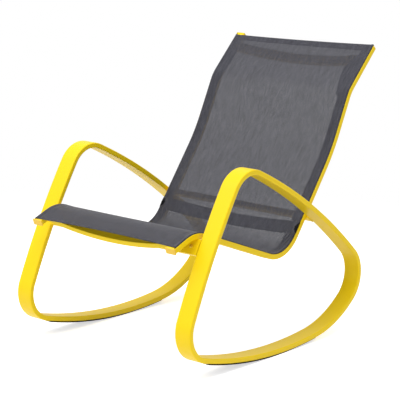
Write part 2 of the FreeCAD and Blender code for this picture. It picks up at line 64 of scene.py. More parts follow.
# Rigid pieces: how far their edges are rounded, their finish and the record's slot for it
CROSS_PIECES = ("front_bow_bar", "top_bow_bar", "front_cross_bar", "rear_cross_bar")
CROSS_LOOK = (0.7 * MM, "coat", "yellow_frame")
SIDE_LOOKS = {
    "rocker_loop": (1.0 * MM, "coat", "yellow_frame"),
    "sling_rail": (0.5 * MM, "coat", "yellow_frame"),
    "glide_strip": (0.3 * MM, "rubber", "glide_rubber"),
    "sling_spline": (0.6 * MM, "spline", "spline_plastic"),
    "front_rail_cap": (0.5 * MM, "cap", "rail_cap"),
    "top_rail_cap": (0.5 * MM, "cap", "rail_cap"),
    "front_bracket": (0.5 * MM, "coat", "yellow_frame"),
}
# Angles in degrees: facets flatter than this are one face, edges above these are rounded or sharp
FLAT_FACETS = 0.4
ROUNDED_EDGES = 25
SHARP_SHADING = 50
SHARP_FITTING = 40

# The soft glide strips are pressed out to nearly the width of the rockers in their front part,
# which starts and is complete at these shares of their length from the rear end
GLIDE_WIDEN = 1.19
PRESSED_PART = (0.1, 0.6)

# Middle line of the sling rails at rest, in the side view: its front end, then each straight
# run with its length, the radius of the bend before it and its heading above the horizontal
RAIL_FRONT = Vector((0, -0.4521, 0.3527))
RAIL_RUNS = (
    ("lip", 0.0533, None, 21.82),
    ("seat", 0.3142, 0.1020, -19.18),
    ("back", 0.2256, 0.1086, 54.12),
    ("shoulder", 0.1161, 0.5850, 65.12),
    ("head", 0.1520, 0.1033, 45.92),
)
RAIL_HALF_THICK = 7.5 * MM
RAIL_INNER_SIDE = 230.1 * MM

# Cloth: the outer layer turns round the rails, and a second layer lies under it along the hems
CLOTH_THICK = 0.36 * MM
OUTER_LAYER = 0.95 * MM
INNER_LAYER = 0.35 * MM
CLOTH_EDGE = 257.6 * MM
EDGE_TURN = 1.4 * MM
EDGE_DEPTH = 3.8 * MM
FLAT_HALF = CLOTH_EDGE + EDGE_TURN * (math.pi / 2 - 1) + EDGE_DEPTH
EDGE_ROLL = 1.7 * MM
ROLL_FROM = CLOTH_EDGE - 13 * MM
ROLL_FULL = CLOTH_EDGE - 3 * MM
END_HEM = 23 * MM
SIDE_HEM_INSIDE = 226 * MM
SIDE_HEM_COLUMNS = 18
HEM_SETBACK = 0.3 * MM

# The cut ends are pulled in from the rails' ends: at mid-width, the skew to the left and the bow
END_REACH = 60 * MM
FRONT_PULL = (11 * MM, 1 * MM, -7 * MM)
TOP_PULL = (4.3 * MM, -6.7 * MM, -3.0 * MM)

# How the stretched cloth leaves the straight line between the rails: the place along the rails,
# its reach and the rise at mid-width
SLACK = {
    "hip": (0.51, 0.09, 2.5 * MM),
    "seat": (0.27, 0.11, -2.0 * MM),
    "back": (0.83, 0.16, -1.5 * MM),
}

# Folded ends of the side hems below the head: where they begin and end along the rails, and how
# much wider than the hem they are at first and further up
FOLD_START = (1.030, 1.036)
FOLD_WIDENS = (1.036, 1.125)
FOLD_END = (1.120, 1.195)
FOLD_WIDE = 11 * MM
FOLD_SPREAD = 16 * MM
RIGHT_FOLD_SHARE = 0.4

# Seam between the seat and the back panel, lower in the middle than at the rails
SEAM_LOW = 591 * MM
SEAM_RISE = 10.5 * MM
SEAM_HALF_WIDE = 20.4 * MM
SEAM_REACH = 242 * MM
SEAM_CLEAR = 0.5 * MM
SEAM_THICK = CLOTH_THICK * 1.5

# Ragged notches in the cloth's edges at the seam, which also pull the cloth beside them inwards
NOTCH_AT = 603 * MM
NOTCH_HALF_LONG = 18 * MM
NOTCH_DEEP = 7 * MM
NOTCH_RAGGED = 0.12
NOTCH_RAGGED_PITCH = 9 * MM
NOTCH_PULL = 12 * MM
PULL_FROM = CLOTH_EDGE - 70 * MM
PULL_FULL = CLOTH_EDGE - 15 * MM

# Tension creases below the notches, nearly along the rails: the middle of the creased patch, in
# from the cloth's edge and down from the notch, and how far it reaches both ways
CREASE_HIGH = 2.0 * MM
CREASE_PITCH = 10 * MM
CREASE_LEAN = 0.25
CREASE_INWARD = (26 * MM, 14 * MM)
CREASE_BELOW = (38 * MM, 16 * MM)

# Steps of the cloth's grid: finer near the edges and around the notches
FABRIC_STEP = 7 * MM
ROW_STEP = 0.6 * FABRIC_STEP
FINE_STEP = FABRIC_STEP / 4
EDGE_STEP = 1 * MM
FINE_OUTSIDE = 190 * MM
EDGE_STRIP = 6 * MM
FINE_BELOW_NOTCH = 75 * MM
FINE_ABOVE_NOTCH = 25 * MM

# Stitches: places along one stitch with the thread's share of its full radius and height there
STITCH_LONG = 3.2 * MM
STITCH_PITCH = 4.6 * MM
STITCH_RADIUS = 0.28 * MM
STITCH_INSET = 3 * MM
STITCH_SIDES = 5
STITCH_SUNK = 0.6
STITCH_FORM = ((0.0, 0.4, 0.3), (0.25, 1.0, 1.0), (0.75, 1.0, 1.0), (1.0, 0.4, 0.3))

# Ends of the splines, which swell out of the rails' slots in the notches
SPLINE_HALF_LONG = NOTCH_HALF_LONG - 0.5 * MM
SPLINE_STEP = 1.5 * MM
SPLINE_COLUMNS = 6
SPLINE_OUTSIDE = CLOTH_EDGE + 1.9 * MM
SPLINE_UNDER_CLOTH = 3 * MM
SPLINE_FOOT = 0.1 * MM
SPLINE_RIM = 0.5 * MM
SPLINE_LEAST = 0.8 * MM
SPLINE_SWELL = 4.6 * MM

# Bolts through the front cross bar and its brackets
BOLT_OFFSET = 244.4 * MM
BAR_HALF_THICK = 7.5 * MM
BRACKET_THICK = 4.1 * MM
BOLT_RADIUS = 3 * MM
BOLT_TIP = 0.6 * MM
BOLT_SPARE = 2 * MM
HEAD_RADIUS = 5.5 * MM
HEAD_HEIGHT = 3.3 * MM
HEAD_BRIM = 0.6 * MM
HEAD_STEPS = 8
HEAD_FULLNESS = 0.7
SOCKET_RADIUS = 2.3 * MM
SOCKET_DEPTH = 2 * MM
SOCKET_CONE = 0.4 * MM
NUT_RADIUS = 5.77 * MM
NUT_THICK = 5 * MM
NUT_CHAMFER = 0.7 * MM
NUT_FACE_RADIUS = NUT_RADIUS * 0.86

# Weld beads at the ends of the bars that are welded on
WELDED_BARS = ("front_bow_bar", "top_bow_bar", "rear_cross_bar")
WELD_RADIUS = 1.5 * MM
WELD_STEP = 1.1 * MM
WELD_SIDES = 8
WELD_RIPPLE = 0.18
WELD_RIPPLE_TURN = 1.9

# Weave: each bundle of lengthwise yarns has a tone of its own, which drifts along it
YARN_PITCH = 1.5 * MM
BUNDLE_YARNS = 3.0
BUNDLE_SPREAD = 7.3
STREAK_DRIFT_PER_METRE = 32.0
STREAK_RANGE = (0.3, 0.7)
STREAK_OPENS = 0.12
WEAVE_DEPTH = 0.25 * MM
WEAVE_BUMP = 0.6
GRAIN_BUMP = 0.35

# Studio: a floor that fades out, and lamps with their place, size and power in watts
FLOOR_RADIUS = 2.2
FLOOR_FADES_FROM = 0.9
FLOOR_GLOW = 0.6
STUDIO_LIGHT = 0.7
LAMP_AIM = Vector((0, 0, 0.4))
LAMPS = {
    "front_softbox": (Vector((-1.6, -2.7, 3.6)), 3.0, 50),
    "top_softbox": (Vector((0.2, -1.3, 3.7)), 3.2, 82),
}


# Shader helpers


def srgb(red, green, blue):
    """A colour picked on a 0 to 255 screen scale, as the linear values that a shader takes."""
    parts = [value / 255 for value in (red, green, blue)]
    return (*[p / 12.92 if p <= 0.04045 else ((p + 0.055) / 1.055) ** 2.4 for p in parts], 1.0)


def add_node(tree, kind, **settings):
    node = tree.nodes.new(f"ShaderNode{kind}")
    for name, value in settings.items():
        setattr(node, name, value)
    return node


def feed(tree, target, source):
    """Set a socket to a plain value, or link another node's output to it."""
    if isinstance(source, bpy.types.NodeSocket):
        tree.links.new(source, target)
    else:
        target.default_value = source


def math_node(tree, operation, first, second=0.0, third=0.0):
    node = add_node(tree, "Math", operation=operation)
    for socket, value in zip(node.inputs, (first, second, third)):
        feed(tree, socket, value)
    return node.outputs[0]


def mix_colour(tree, factor, first, second, blend="MIX"):
    node = add_node(tree, "Mix", data_type="RGBA", blend_type=blend)
    feed(tree, node.inputs["Factor"], factor)
    feed(tree, node.inputs["A"], first)
    feed(tree, node.inputs["B"], second)
    return node.outputs["Result"]


def noise(tree, vector, scale, detail=2.0):
    node = add_node(tree, "TexNoise")
    feed(tree, node.inputs["Vector"], vector)
    feed(tree, node.inputs["Scale"], scale)
    feed(tree, node.inputs["Detail"], detail)
    return node.outputs["Fac"]


def new_group(name, inputs, outputs):
    """An empty shader node group; gives the tree and its input and output nodes."""
    tree = bpy.data.node_groups.new(name, "ShaderNodeTree")
    for label, kind, default in inputs:
        socket = tree.interface.new_socket(label, in_out="INPUT", socket_type=f"NodeSocket{kind}")
        socket.default_value = default
    for label, kind in outputs:
        tree.interface.new_socket(label, in_out="OUTPUT", socket_type=f"NodeSocket{kind}")
    return tree, tree.nodes.new("NodeGroupInput"), tree.nodes.new("NodeGroupOutput")


def place_group(tree, group, **values):
    node = tree.nodes.new("ShaderNodeGroup")
    node.node_tree = group
    for label, value in values.items():
        feed(tree, node.inputs[label.replace("_", " ").title()], value)
    return node


# Effects that several finishes share


def tone_group():
    """Broad, faint changes of tone over a surface."""
    tree, given, out = new_group(
        "uneven_tone",
        [("Colour", "Color", (1, 1, 1, 1)), ("Scale", "Float", 6.0), ("Amount", "Float", 0.05)],
        [("Colour", "Color")],
    )
    place = add_node(tree, "TexCoord").outputs["Object"]
    cloud = noise(tree, place, given.outputs["Scale"], 3.0)
    swing = math_node(tree, "SUBTRACT", cloud, 0.5)
    scaled = math_node(tree, "MULTIPLY", swing, given.outputs["Amount"])
    level = math_node(tree, "MULTIPLY_ADD", scaled, 2.0, 1.0)
    tone = add_node(tree, "CombineColor")
    for channel in tone.inputs:
        feed(tree, channel, level)
    shaded = mix_colour(tree, 1.0, given.outputs["Colour"], tone.outputs[0], "MULTIPLY")
    feed(tree, out.inputs["Colour"], shaded)
    return tree


def grain_group():
    """Fine grain of a coated or moulded surface: a height for bump, and an uneven roughness."""
    tree, given, out = new_group(
        "surface_grain",
        [("Scale", "Float", 400.0), ("Roughness", "Float", 0.4), ("Spread", "Float", 0.1)],
        [("Height", "Float"), ("Roughness", "Float")],
    )
    place = add_node(tree, "TexCoord").outputs["Object"]
    grain = noise(tree, place, given.outputs["Scale"], 2.0)
    patch_scale = math_node(tree, "MULTIPLY", given.outputs["Scale"], 0.05)
    patches = noise(tree, place, patch_scale, 2.0)
    swing = math_node(tree, "SUBTRACT", patches, 0.5)
    middle, spread = given.outputs["Roughness"], given.outputs["Spread"]
    feed(tree, out.inputs["Height"], grain)
    feed(tree, out.inputs["Roughness"], math_node(tree, "MULTIPLY_ADD", swing, spread, middle))
    return tree


def yarn_streaks(tree, across, metres_along):
    """Tone of each bundle of lengthwise yarns, from 0 for the darkest to 1 for the lightest."""
    bundle = math_node(tree, "FLOOR", math_node(tree, "DIVIDE", across, BUNDLE_YARNS))
    stretch = add_node(tree, "CombineXYZ")
    feed(tree, stretch.inputs[0], math_node(tree, "MULTIPLY", bundle, BUNDLE_SPREAD))
    drift = math_node(tree, "MULTIPLY", metres_along, STREAK_DRIFT_PER_METRE)
    feed(tree, stretch.inputs[1], drift)
    sharper = add_node(tree, "MapRange")
    feed(tree, sharper.inputs["Value"], noise(tree, stretch.outputs[0], 1.0, 1.0))
    for label, value in zip(("From Min", "From Max"), STREAK_RANGE):
        feed(tree, sharper.inputs[label], value)
    return sharper.outputs[0]


def yarn_gap(tree, gap, streak):
    """Share of a cell that is open, a little more along the lighter streaks."""
    share = math_node(tree, "MULTIPLY_ADD", streak, STREAK_OPENS, 1 - STREAK_OPENS / 2)
    return math_node(tree, "MULTIPLY", gap, share)


def yarn_height(tree, places, edges):
    """Height of the yarns, of which another one lies on top in every next cell."""
    cells = [math_node(tree, "FLOOR", place) for place in places]
    remainder = math_node(tree, "MODULO", math_node(tree, "ADD", *cells), 2.0)
    odd = math_node(tree, "ABSOLUTE", remainder)
    even = math_node(tree, "SUBTRACT", 1.0, odd)
    tops = []
    for edge, share in zip(edges, (odd, even)):
        crown = math_node(tree, "SUBTRACT", 1.0, math_node(tree, "POWER", edge, 2.0))
        tops.append(math_node(tree, "MULTIPLY", crown, share))
    return math_node(tree, "ADD", *tops)


def weave_group():
    """Plain weave of coated yarn read from the cloth's own map, in metres along both yarns."""
    tree, given, out = new_group(
        "woven_yarn",
        [
            ("Yarn", "Color", (0.1, 0.1, 0.1, 1)),
            ("Streak", "Color", (0.2, 0.2, 0.2, 1)),
            ("Pitch", "Float", YARN_PITCH),
            ("Gap", "Float", 0.36),
            ("Yarn Alpha", "Float", 1.0),
            ("Gap Alpha", "Float", 0.2),
        ],
        [("Colour", "Color"), ("Alpha", "Float"), ("Height", "Float")],
    )
    split = add_node(tree, "SeparateXYZ")
    feed(tree, split.inputs[0], add_node(tree, "UVMap", uv_map="cloth").outputs[0])
    metres = split.outputs[0], split.outputs[1]
    places = [math_node(tree, "DIVIDE", way, given.outputs["Pitch"]) for way in metres]
    streak = yarn_streaks(tree, places[0], metres[1])
    colour = mix_colour(tree, streak, given.outputs["Yarn"], given.outputs["Streak"])
    # distance from a cell's middle along each yarn, 0 at the middle and 1 at the edge
    edges = []
    for place in places:
        middle = math_node(tree, "SUBTRACT", math_node(tree, "FRACT", place), 0.5)
        edges.append(math_node(tree, "MULTIPLY", math_node(tree, "ABSOLUTE", middle), 2.0))
    yarn_half = math_node(tree, "SUBTRACT", 1.0, yarn_gap(tree, given.outputs["Gap"], streak))
    past_yarn = [math_node(tree, "GREATER_THAN", edge, yarn_half) for edge in edges]
    hole = math_node(tree, "MULTIPLY", *past_yarn)
    drop = math_node(tree, "SUBTRACT", given.outputs["Yarn Alpha"], given.outputs["Gap Alpha"])
    lost = math_node(tree, "MULTIPLY", hole, drop)
    feed(tree, out.inputs["Colour"], colour)
    feed(tree, out.inputs["Alpha"], math_node(tree, "SUBTRACT", given.outputs["Yarn Alpha"], lost))
    feed(tree, out.inputs["Height"], yarn_height(tree, places, edges))
    return tree


# Finishes


def new_material(name, **plain):
    """A material whose Principled shader has these constants; gives it, its tree and the shader."""
    material = bpy.data.materials.new(name)
    material.use_nodes = True
    tree = material.node_tree
    shader = tree.nodes["Principled BSDF"]
    for label, value in plain.items():
        shader.inputs[label.replace("_", " ")].default_value = value
    return material, tree, shader


def add_bump(tree, shader, height, distance, strength):
    bump = add_node(tree, "Bump")
    feed(tree, bump.inputs["Height"], height)
    feed(tree, bump.inputs["Distance"], distance)
    feed(tree, bump.inputs["Strength"], strength)
    feed(tree, shader.inputs["Normal"], bump.outputs[0])


def grained_material(name, groups, colour, tone, grain, rough, **plain):
    """A coated or moulded finish: uneven tone (amount, scale) over a grain (scale, depth), with
    an uneven roughness (middle, spread)."""
    material, tree, shader = new_material(name, **plain)
    toned = place_group(tree, groups["tone"], colour=colour, amount=tone[0], scale=tone[1])
    grained = place_group(
        tree, groups["grain"], scale=grain[0], roughness=rough[0], spread=rough[1])
    feed(tree, shader.inputs["Base Color"], toned.outputs["Colour"])
    feed(tree, shader.inputs["Roughness"], grained.outputs["Roughness"])
    add_bump(tree, shader, grained.outputs["Height"], grain[1], GRAIN_BUMP)
    return material


def woven_material(name, groups, gap=0.0, **weaving):
    """Coated mesh cloth; without a gap it is the doubled cloth of the hems."""
    material, tree, shader = new_material(
        name, Roughness=0.65, Specular_IOR_Level=0.2, Sheen_Weight=0.25, Sheen_Roughness=0.35)
    weave = place_group(tree, groups["weave"], gap=gap, **weaving)
    toned = place_group(
        tree, groups["tone"], colour=weave.outputs["Colour"], amount=0.06, scale=5.0)
    feed(tree, shader.inputs["Base Color"], toned.outputs["Colour"])
    if gap:
        # the yarns close the holes where the cloth is seen at a slant
        slant = add_node(tree, "LayerWeight").outputs["Facing"]
        clear = math_node(tree, "SUBTRACT", 1.0, weave.outputs["Alpha"])
        filled = math_node(tree, "MULTIPLY", clear, slant)
        feed(tree, shader.inputs["Alpha"], math_node(tree, "ADD", weave.outputs["Alpha"], filled))
    add_bump(tree, shader, weave.outputs["Height"], WEAVE_DEPTH, WEAVE_BUMP)
    return material


def make_finishes():
    groups = {"tone": tone_group(), "grain": grain_group(), "weave": weave_group()}
    return {
        "coat": grained_material(
            "yellow_powder_coat", groups, srgb(238, 205, 14),
            tone=(0.04, 5.0), grain=(900.0, 0.02 * MM), rough=(0.42, 0.10),
            Specular_IOR_Level=0.2),
        "cap": grained_material(
            "yellow_cap_plastic", groups, srgb(236, 193, 52),
            tone=(0.05, 30.0), grain=(1500.0, 0.04 * MM), rough=(0.5, 0.1)),
        "rubber": grained_material(
            "black_glide_rubber", groups, srgb(22, 21, 21),
            tone=(0.2, 20.0), grain=(1200.0, 0.1 * MM), rough=(0.8, 0.15),
            Specular_IOR_Level=0.15),
        "spline": grained_material(
            "black_spline_plastic", groups, srgb(20, 20, 22),
            tone=(0.15, 30.0), grain=(900.0, 0.05 * MM), rough=(0.7, 0.1),
            Specular_IOR_Level=0.1),
        "bolt": grained_material(
            "yellow_zinc_steel", groups, srgb(212, 178, 44),
            tone=(0.2, 60.0), grain=(2500.0, 0.02 * MM), rough=(0.4, 0.2),
            Metallic=0.4),
        "mesh": woven_material(
            "sling_mesh", groups, yarn=srgb(60, 60, 67), streak=srgb(73, 73, 81),
            gap=0.42, yarn_alpha=0.83, gap_alpha=0.1),
        # the hems are the mesh's own yarn, given darker colours here as painted shade of the
        # doubled cloth under the outer layer
        "hem": woven_material(
            "doubled_hem_cloth_painted_shade", groups, yarn=srgb(51, 52, 58), streak=srgb(57, 58, 65)),
        "thread": grained_material(
            "hem_thread", groups, srgb(52, 52, 56),
            tone=(0.1, 60.0), grain=(3000.0, 0.02 * MM), rough=(0.6, 0.1)),
    }


# Making pieces


def show(piece, material):
    """Dress a piece with its finish and let it ride on the chair."""
    piece.data.materials.clear()
    piece.data.materials.append(material)
    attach(piece, BODY)
    return piece


def new_piece(name, mesh):
    piece = bpy.data.objects.new(name, mesh)
    bpy.context.scene.collection.objects.link(piece)
    return piece


def piece_from(shape, name, sharp=None):
    """A smooth piece from a finished shape; edges above an angle in degrees can stay sharp."""
    mesh = bpy.data.meshes.new(name)
    shape.to_mesh(mesh)
    shape.free()
    mesh.shade_smooth()
    if sharp:
        mesh.set_sharp_from_angle(angle=math.radians(sharp))
    return new_piece(name, mesh)


def ring_round(shape, middle, first, second, radius, sides):
    """A ring of points round a middle, in the plane of two directions."""
    ring = []
    for k in range(sides):
        angle = 2 * math.pi * k / sides
        offset = first * math.cos(angle) + second * math.sin(angle)
        ring.append(shape.verts.new(middle + offset * radius))
    return ring


def join_rings(shape, rings):
    """Faces between each ring of points and the next one."""
    for low, high in zip(rings, rings[1:]):
        for k in range(len(low)):
            after = (k + 1) % len(low)
            shape.faces.new((low[k], low[after], high[after], high[k]))


def close_ends(shape, rings):
    shape.faces.new(rings[0][::-1])
    shape.faces.new(rings[-1])


def smooth_step(low, high, value):
    part = min(max((value - low) / (high - low), 0.0), 1.0)
    return part * part * (3 - 2 * part)


def even_steps(low, high, step):
    count = max(1, math.ceil((high - low) / step))
    return [low + (high - low) * k / count for k in range(count + 1)]


def joined_steps(stops, steps):
    """Values from the first stop to the last, with a step of its own between each two stops."""
    values = [stops[0]]
    for low, high, step in zip(stops, stops[1:], steps):
        values += even_steps(low, high, step)[1:]
    return values


# Rigid pieces


def press_out(shape, low, high):
    """Widen the front part of a glide strip that lies between these corners."""
    middle = (low.x + high.x) / 2
    for corner in shape.verts:
        forward = (high.y - corner.co.y) / (high.y - low.y)
        share = 1 + (GLIDE_WIDEN - 1) * smooth_step(*PRESSED_PART, forward)
        corner.co.x = middle + (corner.co.x - middle) * share


def soften(node, rounding, material):
    """Stand in for a rigid CAD node with the same shape and its sharp edges rounded off."""
    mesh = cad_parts[node].data.copy()
    shape = bmesh.new()
    shape.from_mesh(mesh)
    if node.endswith("glide_strip"):
        press_out(shape, *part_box(node))
    bmesh.ops.remove_doubles(shape, verts=shape.verts, dist=0.002 * MM)
    bmesh.ops.dissolve_limit(
        shape, angle_limit=math.radians(FLAT_FACETS), verts=shape.verts, edges=shape.edges)
    sharp = [edge for edge in shape.edges if len(edge.link_faces) == 2
             and edge.calc_face_angle() > math.radians(ROUNDED_EDGES)]
    bmesh.ops.bevel(shape, geom=sharp, offset=rounding, segments=2, profile=0.5,
                    affect="EDGES", clamp_overlap=True)
    for face in shape.faces:
        face.smooth = True
    shape.to_mesh(mesh)
    shape.free()
    mesh.set_sharp_from_angle(angle=math.radians(SHARP_SHADING))
    piece = new_piece(f"{node}_rounded", mesh)
    piece.modifiers.new("even_shading", "WEIGHTED_NORMAL").keep_sharp = True
    show(piece, material)
    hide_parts(node)


def build_frame(finishes):
    """Every rigid CAD piece with rounded edges and its finish."""
    looks = {bar: CROSS_LOOK for bar in CROSS_PIECES}
    for side in SIDES:
        looks.update({f"{side}_{piece}": look for piece, look in SIDE_LOOKS.items()})
    for node, (rounding, finish, slot) in looks.items():
        soften(node, rounding, finishes[finish])


# Shape of the cloth


def heading_vector(heading):
    return Vector((0, math.cos(heading), math.sin(heading)))


def rail_pieces():
    """Runs and bends of the rail line: start distance, length, start point, heading and turn."""
    pieces = []
    point = RAIL_FRONT.copy()
    heading, distance = None, 0.0
    for _, length, radius, degrees in RAIL_RUNS:
        after = math.radians(degrees)
        if radius:
            turn = after - heading
            bend = radius * abs(turn)
            pieces.append((distance, bend, point.copy(), heading, turn))
            distance += bend
            chord = 2 * radius * math.sin(abs(turn) / 2)
            point += heading_vector((heading + after) / 2) * chord
        heading = after
        pieces.append((distance, length, point.copy(), heading, 0.0))
        distance += length
        point += heading_vector(heading) * length
    return pieces


RAIL_PIECES = rail_pieces()
RAIL_LENGTH = RAIL_PIECES[-1][0] + RAIL_PIECES[-1][1]


def rail_at(distance):
    """Point on the rail's middle line and its heading, at a distance from the front end."""
    reached = [piece for piece in RAIL_PIECES if piece[0] <= max(distance, 0.0)]
    start, length, point, heading, turn = reached[-1]
    run = distance - start
    if turn:
        part = turn * run / length
        chord = 2 * (length / abs(turn)) * math.sin(abs(part) / 2)
        return point + heading_vector(heading + part / 2) * chord, heading + part
    return point + heading_vector(heading) * run, heading


def on_face(x, distance, lift):
    """A point above the rails' front faces, which the cloth lies on, and the normal there."""
    point, heading = rail_at(distance)
    normal = Vector((0, -math.sin(heading), math.cos(heading)))
    return Vector((x, 0, 0)) + point + normal * (RAIL_HALF_THICK + lift), normal


def notch(distance):
    """Depth of the ragged notches at the hip seam, about 1 at their middle and 0 outside them."""
    off = (distance - NOTCH_AT) / NOTCH_HALF_LONG
    ragged = 1 + NOTCH_RAGGED * math.sin(2 * math.pi * distance / NOTCH_RAGGED_PITCH)
    return max(0.0, 1 - off * off) * ragged


def seam_line(x):
    return SEAM_LOW + SEAM_RISE * (x / RAIL_INNER_SIDE) ** 2


def creases(x, distance):
    """Height of the fine tension creases of the cloth below the notches."""
    inward = CLOTH_EDGE - abs(x)
    below = NOTCH_AT - distance
    fade = 1.0
    for value, (middle, reach) in ((inward, CREASE_INWARD), (below, CREASE_BELOW)):
        fade *= math.exp(-((value - middle) / reach) ** 2)
    across = (inward - below * CREASE_LEAN) / CREASE_PITCH
    ridge = (0.5 + 0.5 * math.sin(across * 2 * math.pi)) ** 2
    return CREASE_HIGH * ridge * fade


def slack(x, distance):
    """How far the stretched cloth leaves the straight line between the rails."""
    part = max(0.0, 1 - (x / RAIL_INNER_SIDE) ** 2)
    rise = sum(high * math.exp(-((distance - place) / reach) ** 2)
               for place, reach, high in SLACK.values())
    roll = EDGE_ROLL * smooth_step(ROLL_FROM, ROLL_FULL, abs(x))
    return part * rise + roll + creases(x, distance)


def across_cloth(flat, distance):
    """Where a point of the flat cloth lies across the chair: its x, its drop and its tilt."""
    part = notch(distance)
    edge = CLOTH_EDGE - EDGE_TURN - NOTCH_DEEP * part
    angle_limit = math.radians(90) * max(0.0, 1 - part)
    side = 1 if flat > 0 else -1
    pulled = abs(flat) - NOTCH_PULL * part * smooth_step(PULL_FROM, PULL_FULL, abs(flat))
    beyond = pulled - edge
    if beyond <= 0:
        return side * pulled, 0.0, 0.0
    angle = min(beyond / EDGE_TURN, angle_limit)
    rest = max(0.0, beyond - EDGE_TURN * angle_limit)
    out = EDGE_TURN * math.sin(angle) + rest * math.cos(angle)
    down = EDGE_TURN * (1 - math.cos(angle)) + rest * math.sin(angle)
    return side * (edge + out), down, side * angle


def outer_cloth(flat, distance):
    """Point and normal of the sling's outer layer."""
    x, down, tilt = across_cloth(flat, distance)
    point, normal = on_face(x, distance, OUTER_LAYER - down + slack(x, distance))
    return point, (normal * math.cos(tilt) + ACROSS * math.sin(tilt)).normalized()


def under_cloth(x, distance):
    """Point and normal of the second layer, just below the outer one."""
    return on_face(x, distance, INNER_LAYER + slack(x, distance))


def end_pull(form, across):
    middle, skew, bow = form
    return middle + skew * across + bow * across ** 2


def pull_in(x, distance):
    """Distance along the rails of a cloth point, with the cut ends pulled in."""
    across = x / CLOTH_EDGE
    front_share = max(0.0, 1 - distance / END_REACH)
    top_share = max(0.0, 1 - (RAIL_LENGTH - distance) / END_REACH)
    front = end_pull(FRONT_PULL, across) * front_share
    return distance + front - end_pull(TOP_PULL, across) * top_share


def side_hem_inside(distance, sign):
    """Inner edge of a side hem, which is wider where its end is folded below the head."""
    fold = smooth_step(*FOLD_START, distance) * (1 - smooth_step(*FOLD_END, distance))
    wide = FOLD_WIDE + FOLD_SPREAD * smooth_step(*FOLD_WIDENS, distance)
    return SIDE_HEM_INSIDE - fold * wide * (1.0 if sign > 0 else RIGHT_FOLD_SHARE)


# Pieces of the sling


def woven_panel(name, grid, place, thick=CLOTH_THICK):
    """A closed thin sheet over a grid of flat cloth points, with the flat points as its map."""
    rows, columns = len(grid), len(grid[0])
    corners, flats = [], []
    for layer in (0.5, -0.5):
        for row in grid:
            for flat, distance in row:
                point, normal = place(flat, distance)
                corners.append(point + normal * thick * layer)
                flats.append((flat, distance))
    lower = rows * columns

    def at(row, column):
        return row * columns + column

    faces = []
    for r in range(rows - 1):
        for c in range(columns - 1):
            ring = (at(r, c), at(r, c + 1), at(r + 1, c + 1), at(r + 1, c))
            faces.append(ring)
            faces.append(tuple(lower + k for k in reversed(ring)))
    rim = [at(0, c) for c in range(columns)] + [at(r, columns - 1) for r in range(1, rows)]
    rim += [at(rows - 1, c) for c in reversed(range(columns - 1))]
    rim += [at(r, 0) for r in reversed(range(1, rows - 1))]
    for start, end in zip(rim, rim[1:] + rim[:1]):
        faces.append((end, start, start + lower, end + lower))
    mesh = bpy.data.meshes.new(name)
    mesh.from_pydata(corners, [], faces)
    cloth = mesh.uv_layers.new(name="cloth")
    for loop in mesh.loops:
        cloth.data[loop.index].uv = flats[loop.vertex_index]
    mesh.shade_smooth()
    mesh.update()
    return new_piece(name, mesh)


def outer_sheet():
    """The sling's outer layer, from rail to rail and from the front end to the top end."""
    stops = 0, FINE_OUTSIDE, FLAT_HALF - EDGE_STRIP, FLAT_HALF
    half = joined_steps(stops, (FABRIC_STEP, FINE_STEP, EDGE_STEP))
    flats = [-flat for flat in reversed(half[1:])] + half
    stops = 0, NOTCH_AT - FINE_BELOW_NOTCH, NOTCH_AT + FINE_ABOVE_NOTCH, RAIL_LENGTH
    rows = joined_steps(stops, (ROW_STEP, FINE_STEP, ROW_STEP))
    grid = [[(flat, pull_in(flat, row)) for flat in flats] for row in rows]
    return woven_panel("mesh_sling", grid, outer_cloth)


def end_hem(end):
    """Second layer of cloth at the front or the top end."""
    low = HEM_SETBACK if end == "front" else RAIL_LENGTH - END_HEM
    rows = even_steps(low, low + END_HEM - HEM_SETBACK, FABRIC_STEP)
    reach = SIDE_HEM_INSIDE - 1 * MM
    columns = even_steps(-reach, reach, FABRIC_STEP)
    grid = [[(x, pull_in(x, row)) for x in columns] for row in rows]
    return woven_panel(f"{end}_hem", grid, under_cloth)


def seam_band():
    """Overlap of the seat panel and the back panel at the hip."""
    columns = even_steps(-SEAM_REACH, SEAM_REACH, FABRIC_STEP)
    rows = even_steps(-SEAM_HALF_WIDE, SEAM_HALF_WIDE, FABRIC_STEP)
    grid = [[(x, seam_line(x) + row) for x in columns] for row in rows]
    return woven_panel("hip_seam_band", grid, under_cloth, SEAM_THICK)


def side_hem(side, sign, part):
    """Second layer along one rail, from an end of the sling to the seam band."""
    gap = SEAM_HALF_WIDE + SEAM_CLEAR
    if part == "seat":
        low, high = HEM_SETBACK, seam_line(SIDE_HEM_INSIDE) - gap
    else:
        low, high = seam_line(SEAM_REACH) + gap, RAIL_LENGTH - HEM_SETBACK
    outside = CLOTH_EDGE - EDGE_TURN
    grid = []
    for distance in even_steps(low, high, FABRIC_STEP / 2):
        inside = side_hem_inside(distance, sign)
        step = (outside - inside) / SIDE_HEM_COLUMNS
        row = [sign * (inside + step * k) for k in range(SIDE_HEM_COLUMNS + 1)]
        grid.append([(x, pull_in(x, distance)) for x in sorted(row)])
    return woven_panel(f"{side}_{part}_side_hem", grid, under_cloth)


